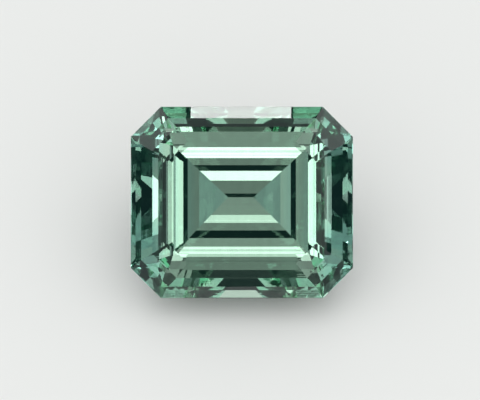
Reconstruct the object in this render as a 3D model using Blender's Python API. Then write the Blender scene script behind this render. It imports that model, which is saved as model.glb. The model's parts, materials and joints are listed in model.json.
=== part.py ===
"""Emerald-cut sapphire: one faceted stone, lying on the front facet beside its keel.

The stone is laid out the way a cutter plans it. Its girdle is a rectangle with cut corners.
Each step of facets above and below the girdle is a band between two such outlines. A step says
how far its inner edge has run in from the girdle, at the sides and at the ends, and at what
angle its side facets stand to the girdle plane. The last outline of the crown is the table, and
the pavilion closes in a short keel. The stone is drawn table up, then tipped forwards until the
front keel facet, which it rests on, is level.

Units are metres, +Z is up, +X runs along the stone, and the table looks towards -Y and up.
"""

import math
from collections import namedtuple

import bmesh
import bpy
from mathutils import Matrix, Vector

MM = 0.001

# Girdle outline and thickness
LENGTH = 12.0 * MM
WIDTH = 10.34 * MM
CORNER_LEG = 1.62 * MM
GIRDLE = 0.19 * MM

Step = namedtuple("Step", "side_run end_run side_angle")

# Crown steps from the girdle up to the table
CROWN_STEPS = (
    Step(0.62 * MM, 0.56 * MM, 28.7),
    Step(1.09 * MM, 1.17 * MM, 20.1),
    Step(1.89 * MM, 2.00 * MM, 4.2),
)

# Pavilion steps from the girdle down, and the last pair of sides that meet in the keel
PAVILION_STEPS = (
    Step(0.18 * MM, 0.22 * MM, 71.5),
    Step(0.86 * MM, 0.77 * MM, 60.1),
    Step(1.53 * MM, 1.59 * MM, 59.1),
    Step(2.28 * MM, 2.37 * MM, 40.5),
)
KEEL_ANGLE = 38.2
KEEL_LENGTH = 1.39 * MM

# The cutter left the keel a little behind and to the left of the girdle's centre
KEEL_BACK = 0.28 * MM
KEEL_LEFT = 0.06 * MM

# Share of a step's run that it takes in from each corner leg. The crown keeps broad corner
# facets. Those of the pavilion run out to a point where the keel sides begin.
CROWN_CORNER_LOSS = 0.28
PAVILION_CORNER_LOSS = 2 * CORNER_LEG / (PAVILION_STEPS[-1].side_run + PAVILION_STEPS[-1].end_run)


def outline(half_length, half_width, leg, height, centre=(0.0, 0.0)):
    """Eight corners of a rectangle with cut corners, counter-clockwise from the right end."""
    quarter = [(half_length, half_width - leg), (half_length - leg, half_width)]
    corners = list(quarter)
    corners += [(-x, y) for x, y in reversed(quarter)]
    corners += [(-x, -y) for x, y in quarter]
    corners += [(x, -y) for x, y in reversed(quarter)]
    return [Vector((centre[0] + x, centre[1] + y, height)) for x, y in corners]


def step_outline(step, height, corner_loss, drift=0.0):
    """The outline at a step's inner edge; drift is how much of the keel's offset it has taken up."""
    run = (step.side_run + step.end_run) / 2
    leg = CORNER_LEG - corner_loss * run
    centre = (-KEEL_LEFT * drift, KEEL_BACK * drift)
    return outline(LENGTH / 2 - step.end_run, WIDTH / 2 - step.side_run, leg, height, centre)


def rise(run, angle):
    """Height that a facet gains over a run at an angle in degrees."""
    return run * math.tan(math.radians(angle))


def crown_outlines():
    """From the girdle's upper edge to the table."""
    height = GIRDLE / 2
    last_run = 0.0
    outlines = [outline(LENGTH / 2, WIDTH / 2, CORNER_LEG, height)]
    for step in CROWN_STEPS:
        height += rise(step.side_run - last_run, step.side_angle)
        last_run = step.side_run
        outlines.append(step_outline(step, height, CROWN_CORNER_LOSS))
    return outlines


def pavilion_outlines():
    """From the girdle's lower edge to the keel, which is an outline closed up to a line."""
    height = -GIRDLE / 2
    last_run = 0.0
    outlines = [outline(LENGTH / 2, WIDTH / 2, CORNER_LEG, height)]
    for step in PAVILION_STEPS:
        height -= rise(step.side_run - last_run, step.side_angle)
        last_run = step.side_run
        drift = step.side_run / (WIDTH / 2)
        outlines.append(step_outline(step, height, PAVILION_CORNER_LOSS, drift))
    height -= rise(WIDTH / 2 - last_run, KEEL_ANGLE)
    outlines.append(outline(KEEL_LENGTH / 2, 0.0, 0.0, height, (-KEEL_LEFT, KEEL_BACK)))
    return outlines


def cut_stone(bm):
    """Facets between each outline and the next, with the table on top."""
    outlines = [*reversed(crown_outlines()), *pavilion_outlines()]
    rows = [[bm.verts.new(point) for point in points] for points in outlines]
    bm.faces.new(rows[0])
    for upper, lower in zip(rows[:-1], rows[1:]):
        for i in range(len(upper)):
            j = (i + 1) % len(upper)
            bm.faces.new((upper[i], lower[i], lower[j], upper[j]))
    bmesh.ops.remove_doubles(bm, verts=bm.verts, dist=1e-7)
    bmesh.ops.recalc_face_normals(bm, faces=bm.faces)


def resting_facet_angle():
    """Angle of the front keel facet to the girdle plane, from its upper edge and the keel."""
    upper, keel = pavilion_outlines()[-2:]
    front, back = (min(point.y for point in edge) for edge in (upper, keel))
    return math.atan2(upper[0].z - keel[0].z, back - front)


def lay_down(bm):
    """Tips the stone forwards onto its resting facet and centres it on the origin."""
    bmesh.ops.rotate(bm, verts=bm.verts, matrix=Matrix.Rotation(resting_facet_angle(), 3, "X"))
    lowest = min(v.co.z for v in bm.verts)
    depth = [v.co.y for v in bm.verts]
    middle = (min(depth) + max(depth)) / 2
    bmesh.ops.translate(bm, verts=bm.verts, vec=(0, -middle, -lowest))


def sapphire_material():
    """Mint green corundum, polished."""
    material = bpy.data.materials.new("sapphire")
    material.use_nodes = True
    shader = material.node_tree.nodes["Principled BSDF"]
    shader.inputs["Base Color"].default_value = (0.25, 0.62, 0.47, 1)
    shader.inputs["Roughness"].default_value = 0.02
    shader.inputs["Metallic"].default_value = 0.0
    shader.inputs["IOR"].default_value = 1.77
    return material


def build_sapphire():
    mesh = bpy.data.meshes.new("sapphire")
    bm = bmesh.new()
    cut_stone(bm)
    lay_down(bm)
    bm.to_mesh(mesh)
    bm.free()
    mesh.materials.append(sapphire_material())
    stone = bpy.data.objects.new("sapphire", mesh)
    bpy.context.scene.collection.objects.link(stone)
    return stone


def main():
    for old in list(bpy.data.objects):
        bpy.data.objects.remove(old)
    build_sapphire()


main()
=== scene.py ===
"""Looks of an emerald-cut sapphire, laid out as a Blender add-on and run as a script.

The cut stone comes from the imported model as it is. This script gives it the finish of polished
corundum, mint in the middle and bluer at both ends, and sets up a small studio: a pale floor,
softboxes around the stone and a camera that looks square onto the table facet.

Positions are in metres. Softboxes hang on hoops around the stone, because the long facets of a
step cut look out along a few planes through the table's axis. A hoop is named by its direction
seen from the camera: 0 degrees runs to the right end and 90 degrees to the top edge. A box's
angle is counted along its hoop from the table's axis.
"""

import json
import math
from collections import namedtuple

import bpy
from bpy.props import FloatProperty, FloatVectorProperty, PointerProperty
from bpy.types import Operator, Panel, PropertyGroup
from mathutils import Matrix, Vector

bl_info = {
    "name": "Emerald-cut sapphire",
    "version": (1, 0, 0),
    "blender": (4, 5, 0),
    "location": "3D View > Sidebar > Sapphire",
    "description": "Finishes a faceted sapphire and sets up its studio",
    "category": "Object",
}

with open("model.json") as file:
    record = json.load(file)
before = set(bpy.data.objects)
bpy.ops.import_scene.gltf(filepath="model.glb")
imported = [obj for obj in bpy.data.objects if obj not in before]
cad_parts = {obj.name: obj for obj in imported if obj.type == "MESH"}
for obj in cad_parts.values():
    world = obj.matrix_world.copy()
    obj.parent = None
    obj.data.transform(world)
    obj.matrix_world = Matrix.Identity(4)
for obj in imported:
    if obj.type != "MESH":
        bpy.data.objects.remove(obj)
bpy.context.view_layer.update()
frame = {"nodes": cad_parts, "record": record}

MM = 0.001
STONE_NODE = "sapphire"
STONE = frame["nodes"][STONE_NODE]
CORUNDUM_IOR = 1.77


def mount(name):
    """Position and outward axis of one of the stone's mounts."""
    entry = next(m for m in frame["record"]["mounts"] if m["name"] == name)
    return Vector(entry["pos_m"]), Vector(entry["axis"]).normalized()


# The stone's own directions: out of the table, to the right end and to the top edge
TABLE_CENTRE, TABLE_AXIS = mount("table")
RIGHT = Vector((1, 0, 0))
TOPWARDS = TABLE_AXIS.cross(RIGHT)

# The girdle is a band 0.19 mm thick. Half of that is rounded up, so that its edges count as well.
GIRDLE_CENTRE = (mount("girdle_left")[0] + mount("girdle_right")[0]) / 2
GIRDLE_HALF = 0.0955 * MM

# The crystal grew in layers that stand nearly square to its length. A soft cloud shifts their lines
# by up to GROWTH_WANDER, in radians of their wave.
GROWTH_SLANT = 0.06
GROWTH_AXIS = (RIGHT + GROWTH_SLANT * TOPWARDS).normalized()
GROWTH_SPACINGS = (0.13 * MM, 0.71 * MM)
GROWTH_CLOUD = 1.1 * MM
GROWTH_WANDER = 9.0

# Ridges that the polishing wheel leaves, drawn wider than real ones so that they show
POLISH_SPACING = 0.18 * MM
POLISH_DETAIL = 1.5


def linear_rgb(hex_colour):
    """An sRGB hex colour as linear red, green and blue."""
    channels = [int(hex_colour[i:i + 2], 16) / 255 for i in (0, 2, 4)]
    return [c / 12.92 if c <= 0.04045 else ((c + 0.055) / 1.055) ** 2.4 for c in channels]


def node(tree, kind, settings=None, **links):
    """Adds a shader node, sets its properties and fills its sockets with values or links.

    settings holds node properties. A keyword is an input socket's name with _ for each space,
    or _ and the socket's number.
    """
    added = tree.nodes.new(kind)
    for key, value in (settings or {}).items():
        setattr(added, key, value)
    for key, value in links.items():
        name = int(key[1:]) if key[1:].isdigit() else key.replace("_", " ")
        socket = added.inputs[name]
        if isinstance(value, bpy.types.NodeSocket):
            tree.links.new(value, socket)
        else:
            socket.default_value = value
    return added


def maths(tree, operation, *values):
    """The result of a Math node on some values or links."""
    sockets = {f"_{number}": value for number, value in enumerate(values)}
    return node(tree, "ShaderNodeMath", {"operation": operation}, **sockets).outputs[0]


# ---------------------------------------------------------------- settings

class SapphireSettings(PropertyGroup):
    """Finish of the stone."""

    body_colour: FloatVectorProperty(
        name="Body colour", description="What it lacks from white is absorbed inside the stone",
        default=linear_rgb("78efbe"), min=0, max=1, subtype="COLOR")
    absorption: FloatProperty(
        name="Absorption", description="Absorption density inside the stone, per metre",
        default=36.0, min=0)
    core_tint: FloatVectorProperty(
        name="Core tint", description="Tint of the mint zone in the middle of the stone",
        default=linear_rgb("f3fdf3"), min=0, max=1, subtype="COLOR")
    end_tint: FloatVectorProperty(
        name="End tint", description="Tint of the bluer zones at both ends",
        default=linear_rgb("cef4f7"), min=0, max=1, subtype="COLOR")
    core_half: FloatProperty(
        name="Core half-length", description="From the middle to where the end zones begin",
        default=3.9 * MM, min=0, unit="LENGTH")
    zone_blend: FloatProperty(
        name="Zone blend", description="Length over which one zone fades into the other",
        default=1.2 * MM, min=0, unit="LENGTH")
    polish_depth: FloatProperty(
        name="Polish depth", description="Height of the fine ridges that polishing leaves",
        default=0.0005 * MM, min=0, unit="LENGTH", precision=6)
    growth_depth: FloatProperty(
        name="Growth line depth", description="How much darker it is where both sets of lines meet",
        default=0.14, min=0, max=1)
    girdle_roughness: FloatProperty(
        name="Girdle roughness", description="Roughness of the girdle, ground and left unpolished",
        default=0.35, min=0, max=1)


class StudioSettings(PropertyGroup):
    """Floor, camera and light level."""

    floor_colour: FloatVectorProperty(
        name="Floor colour", description="Colour of the pale floor",
        default=linear_rgb("e6e8e6"), min=0, max=1, subtype="COLOR")
    floor_size: FloatProperty(
        name="Floor size", description="Side of the square floor", default=0.1, min=0.1, unit="LENGTH")
    room_level: FloatProperty(
        name="Room level", description="Brightness of the soft light on the floor", default=1.1, min=0)
    surround_colour: FloatVectorProperty(
        name="Surround colour", description="Colour of the dim room around the softboxes",
        default=linear_rgb("abf8ff"), min=0, max=1, subtype="COLOR")
    surround_level: FloatProperty(
        name="Surround level", description="Brightness of the dim room around the softboxes",
        default=0.02, min=0)
    softbox_colour: FloatVectorProperty(
        name="Softbox colour", description="Colour of every softbox, plain white",
        default=linear_rgb("ffffff"), min=0, max=1, subtype="COLOR")
    light_level: FloatProperty(
        name="Light level", description="Factor on every softbox", default=0.92, min=0)
    camera_distance: FloatProperty(
        name="Camera distance", description="From the stone to the lens",
        default=0.32, min=0.05, unit="LENGTH")


# ---------------------------------------------------------------- the stone

def distance_along(tree, place, direction):
    """How far a point lies along a direction, in metres."""
    dot = node(tree, "ShaderNodeVectorMath", {"operation": "DOT_PRODUCT"}, _0=place, _1=direction)
    return dot.outputs["Value"]


def growth_lines(tree, place, depth):
    """Factor with faint straight lines, which the crystal's layers leave as they grow."""
    cloud = node(tree, "ShaderNodeTexNoise", Vector=place, Scale=1 / GROWTH_CLOUD)
    wander = maths(tree, "MULTIPLY", cloud.outputs["Fac"], GROWTH_WANDER)
    along = distance_along(tree, place, GROWTH_AXIS)
    factor = 1.0
    for spacing in GROWTH_SPACINGS:
        turns = maths(tree, "MULTIPLY_ADD", along, 2 * math.pi / spacing, wander)
        wave = node(tree, "ShaderNodeMapRange", Value=maths(tree, "SINE", turns), From_Min=-1.0,
                    From_Max=1.0, To_Min=1 - depth / 2, To_Max=1.0)
        factor = maths(tree, "MULTIPLY", wave.outputs["Result"], factor)
    return factor


def zoned_colour(tree, place, settings):
    """Mint in the middle and bluer at both ends, as sapphire grows in zones."""
    end = maths(tree, "ABSOLUTE", distance_along(tree, place, RIGHT))
    zone = node(tree, "ShaderNodeMapRange", {"interpolation_type": "SMOOTHSTEP"}, Value=end,
                From_Min=settings.core_half, From_Max=settings.core_half + settings.zone_blend)
    # A Mix node takes its colours at sockets 6 and 7 and gives them out at 2
    tint = node(tree, "ShaderNodeMix", {"data_type": "RGBA"}, _0=zone.outputs["Result"],
                _6=(*settings.core_tint, 1), _7=(*settings.end_tint, 1))
    lines = growth_lines(tree, place, settings.growth_depth)
    lined = node(tree, "ShaderNodeVectorMath", {"operation": "SCALE"},
                 _0=tint.outputs[2], Scale=lines)
    return lined.outputs["Vector"]


def ground_girdle(tree, place, settings):
    """Roughness: none on the polished facets, and some on the girdle, which scatters the light."""
    height = maths(tree, "SUBTRACT", distance_along(tree, place, TABLE_AXIS),
                   GIRDLE_CENTRE.dot(TABLE_AXIS))
    ground = maths(tree, "LESS_THAN", maths(tree, "ABSOLUTE", height), GIRDLE_HALF)
    return maths(tree, "MULTIPLY", ground, settings.girdle_roughness)


def polishing_lines(tree, place, depth):
    """Normal: very fine ridges that the polishing wheel left, all parallel to the girdle."""
    across = maths(tree, "DIVIDE", distance_along(tree, place, TABLE_AXIS), POLISH_SPACING)
    ridges = node(tree, "ShaderNodeTexNoise", {"noise_dimensions": "1D"}, W=across, Scale=1.0,
                  Detail=POLISH_DETAIL)
    bump = node(tree, "ShaderNodeBump", Distance=depth, Height=ridges.outputs["Fac"])
    return bump.outputs["Normal"]


def polished_corundum(settings):
    """Sapphire with polished facets: clear, with a mint body colour.

    The body colour deepens along the light's way through the stone. The tint at the surface adds
    the bluer ends and the growth lines. Ridges from polishing draw fine streaks along the facets,
    and the ground girdle shows as a pale line.
    """
    material = bpy.data.materials.new("polished natural sapphire")
    material.use_nodes = True
    tree = material.node_tree
    shader = tree.nodes["Principled BSDF"]
    output = tree.nodes["Material Output"]
    place = node(tree, "ShaderNodeTexCoord").outputs["Object"]
    tree.links.new(zoned_colour(tree, place, settings), shader.inputs["Base Color"])
    tree.links.new(ground_girdle(tree, place, settings), shader.inputs["Roughness"])
    ridges = polishing_lines(tree, place, settings.polish_depth)
    tree.links.new(ridges, shader.inputs["Normal"])
    shader.inputs["IOR"].default_value = CORUNDUM_IOR
    shader.inputs["Transmission Weight"].default_value = 1.0
    absorption = node(tree, "ShaderNodeVolumeAbsorption",
                      Color=(*settings.body_colour, 1), Density=settings.absorption)
    tree.links.new(absorption.outputs["Volume"], output.inputs["Volume"])
    return material


class SAPPHIRE_OT_finish_stone(Operator):
    """Gives the cut stone its polished, see-through finish"""

    bl_idname = "sapphire.finish_stone"
    bl_label = "Finish the stone"

    def execute(self, context):
        material = polished_corundum(context.scene.sapphire)
        STONE.data.materials.clear()
        STONE.data.materials.append(material)
        return {"FINISHED"}


# ---------------------------------------------------------------- the studio

# Angles and spans are in degrees as the stone sees them: along the hoop and across it. A box's
# radiance is multiplied by the studio's light level.
Softbox = namedtuple("Softbox", "name hoop angle along across radiance")

SOFTBOX_DISTANCE = 0.25

# The crown's back step mirrors the lamp as a short bright band. A gap between the fill boxes, where
# a crown step mirrors the room, keeps that step clear.
SOFTBOXES = (
    # Back to front
    Softbox("back_rim", 90, 123, 4, 60, 0.7),
    Softbox("back_lamp", 90, 59, 3, 2.2, 8.5),
    Softbox("back_fill", 90, 40, 21, 26, 0.36),
    Softbox("over_back", 90, 27.7, 2.2, 30, 1.2),
    Softbox("over_key", 90, 24, 5, 30, 2.2),
    Softbox("over_fill", 90, 17.5, 6, 24, 0.27),
    Softbox("near_front", 90, -18.5, 4, 24, 0.26),
    Softbox("front_fill", 90, -30, 3, 24, 0.38),
    Softbox("front_key", 90, -36.2, 9, 26, 1.0),
    Softbox("front_accent", 90, -35, 4, 26, 0.9),
    Softbox("front_low", 90, -47, 9, 24, 0.25),
    # Left to right
    Softbox("left_low", 0, -67.5, 5, 20, 1.0),
    Softbox("left_key", 0, -57, 5, 24, 1.4),
    Softbox("left_fill", 0, -42.5, 16, 22, 0.34),
    Softbox("left_near", 0, -26.5, 10, 22, 0.36),
    Softbox("near_left", 0, -8, 4, 14, 0.25),
    Softbox("near_right", 0, 8, 4, 14, 0.5),
    Softbox("right_near", 0, 26, 10, 20, 0.36),
    Softbox("right_fill", 0, 47, 24, 20, 0.36),
    Softbox("right_key", 0, 69, 6, 20, 2.2),
    # Over the corners
    Softbox("back_left", 118, 46, 14, 14, 0.35),
    Softbox("back_right", 62, 46, 14, 14, 0.35),
    Softbox("front_left", 225, 43, 26, 14, 0.45),
    Softbox("front_right", 315, 43, 26, 14, 0.35),
    Softbox("corner_back_left", 135, 43, 28, 8, 1.0),
    Softbox("corner_back_right", 45, 43, 28, 8, 1.0),
)

# Polished stone touches a board at a few points only, so its facet keeps its inner reflection
AIR_GAP = 0.03 * MM

FLOOR_ROUGHNESS = 0.45

# The camera sees this width at the table facet. Its aim lies a little off the table's centre.
FIELD_WIDTH = 25.9 * MM
AIM_RIGHT = -0.1 * MM
AIM_UP = 0.13 * MM
CLIP_NEAR = 0.01
CLIP_FAR = 10.0

MOST_BOUNCES = 32


def pale_floor(settings):
    """Painted board, smooth and slightly glossy."""
    material = bpy.data.materials.new("pale painted board")
    material.use_nodes = True
    shader = material.node_tree.nodes["Principled BSDF"]
    shader.inputs["Base Color"].default_value = (*settings.floor_colour, 1)
    shader.inputs["Roughness"].default_value = FLOOR_ROUGHNESS
    return material


def lay_floor(settings):
    """A square board just below the stone."""
    bpy.ops.object.select_all(action="DESELECT")
    bpy.ops.mesh.primitive_plane_add(size=settings.floor_size, location=(0, 0, -AIR_GAP))
    floor = bpy.context.object
    floor.name = "studio_floor"
    floor.data.materials.append(pale_floor(settings))


def hoop_axes(hoop, angle):
    """Across, along and outward directions at a place on a hoop."""
    turn, lean = math.radians(hoop), math.radians(angle)
    sideways = math.cos(turn) * RIGHT + math.sin(turn) * TOPWARDS
    outward = math.cos(lean) * TABLE_AXIS + math.sin(lean) * sideways
    along = math.cos(lean) * sideways - math.sin(lean) * TABLE_AXIS
    return along.cross(outward), along, outward


def span(angle):
    """Length that covers an angle, seen from the stone at the softboxes' distance."""
    return 2 * SOFTBOX_DISTANCE * math.tan(math.radians(angle / 2))


def hang_softbox(box, settings):
    """An area light that faces the stone, and that the floor mirrors faintly but isn't lit by."""
    width, height = span(box.across), span(box.along)
    light = bpy.data.lights.new(f"softbox_{box.name}", "AREA")
    light.shape = "RECTANGLE"
    light.size = width
    light.size_y = height
    light.color = settings.softbox_colour
    light.energy = box.radiance * settings.light_level * math.pi * width * height
    lamp = bpy.data.objects.new(light.name, light)
    across, along, outward = hoop_axes(box.hoop, box.angle)
    facing = Matrix((across, along, outward)).transposed().to_4x4()
    lamp.matrix_world = Matrix.Translation(TABLE_CENTRE + outward * SOFTBOX_DISTANCE) @ facing
    lamp.visible_camera = False
    lamp.visible_diffuse = False
    bpy.context.scene.collection.objects.link(lamp)


def light_room(settings):
    """Even soft light on the floor, and a dim room for the polished facets to reflect.

    A real room can't be both. Camera rays and diffuse rays meet the bright one.
    """
    world = bpy.data.worlds.new("studio")
    bpy.context.scene.world = world
    world.use_nodes = True
    tree = world.node_tree
    tree.nodes.clear()
    path = node(tree, "ShaderNodeLightPath")
    lit = maths(tree, "MAXIMUM", path.outputs["Is Camera Ray"], path.outputs["Is Diffuse Ray"])
    dim = node(tree, "ShaderNodeBackground", Color=(*settings.surround_colour, 1),
               Strength=settings.surround_level)
    bright = node(tree, "ShaderNodeBackground", Color=(1, 1, 1, 1), Strength=settings.room_level)
    mixed = node(tree, "ShaderNodeMixShader", _0=lit, _1=dim.outputs[0], _2=bright.outputs[0])
    node(tree, "ShaderNodeOutputWorld", Surface=mixed.outputs[0])


def aim_camera(settings):
    """Square onto the table facet, with a long lens."""
    camera = bpy.data.cameras.new("studio_camera")
    rig = bpy.data.objects.new("studio_camera", camera)
    bpy.context.scene.collection.objects.link(rig)
    target = TABLE_CENTRE + RIGHT * AIM_RIGHT + TOPWARDS * AIM_UP
    facing = Matrix((RIGHT, TOPWARDS, TABLE_AXIS)).transposed().to_4x4()
    rig.matrix_world = Matrix.Translation(target + TABLE_AXIS * settings.camera_distance) @ facing
    camera.lens = camera.sensor_width * settings.camera_distance / FIELD_WIDTH
    camera.clip_start = CLIP_NEAR
    camera.clip_end = CLIP_FAR
    bpy.context.scene.camera = rig


def trace_deep():
    """Light crosses a step-cut stone many times, so rays are followed further than usual.

    Colours are shown as they are, with no film look.
    """
    cycles = bpy.context.scene.cycles
    cycles.max_bounces = MOST_BOUNCES
    cycles.glossy_bounces = MOST_BOUNCES
    cycles.transmission_bounces = MOST_BOUNCES
    cycles.caustics_reflective = False
    cycles.caustics_refractive = True
    bpy.context.scene.view_settings.view_transform = "Standard"


class SAPPHIRE_OT_set_studio(Operator):
    """Lays the floor, hangs the softboxes and aims the camera"""

    bl_idname = "sapphire.set_studio"
    bl_label = "Set up the studio"

    def execute(self, context):
        settings = context.scene.sapphire_studio
        lay_floor(settings)
        for box in SOFTBOXES:
            hang_softbox(box, settings)
        light_room(settings)
        aim_camera(settings)
        trace_deep()
        return {"FINISHED"}


class SAPPHIRE_PT_panel(Panel):
    """Lists the steps and their settings"""

    bl_label = "Sapphire"
    bl_space_type = "VIEW_3D"
    bl_region_type = "UI"
    bl_category = "Sapphire"

    def draw(self, context):
        for settings in (context.scene.sapphire, context.scene.sapphire_studio):
            for name in settings.__annotations__:
                self.layout.prop(settings, name)
        for step in STEPS:
            self.layout.operator(step.bl_idname)


STEPS = (SAPPHIRE_OT_finish_stone, SAPPHIRE_OT_set_studio)
CLASSES = (SapphireSettings, StudioSettings, *STEPS, SAPPHIRE_PT_panel)


def register():
    for cls in CLASSES:
        bpy.utils.register_class(cls)
    bpy.types.Scene.sapphire = PointerProperty(type=SapphireSettings)
    bpy.types.Scene.sapphire_studio = PointerProperty(type=StudioSettings)


def unregister():
    del bpy.types.Scene.sapphire_studio
    del bpy.types.Scene.sapphire
    for cls in reversed(CLASSES):
        bpy.utils.unregister_class(cls)


def main():
    register()
    bpy.ops.sapphire.finish_stone()
    bpy.ops.sapphire.set_studio()


if __name__ == "__main__":
    main()
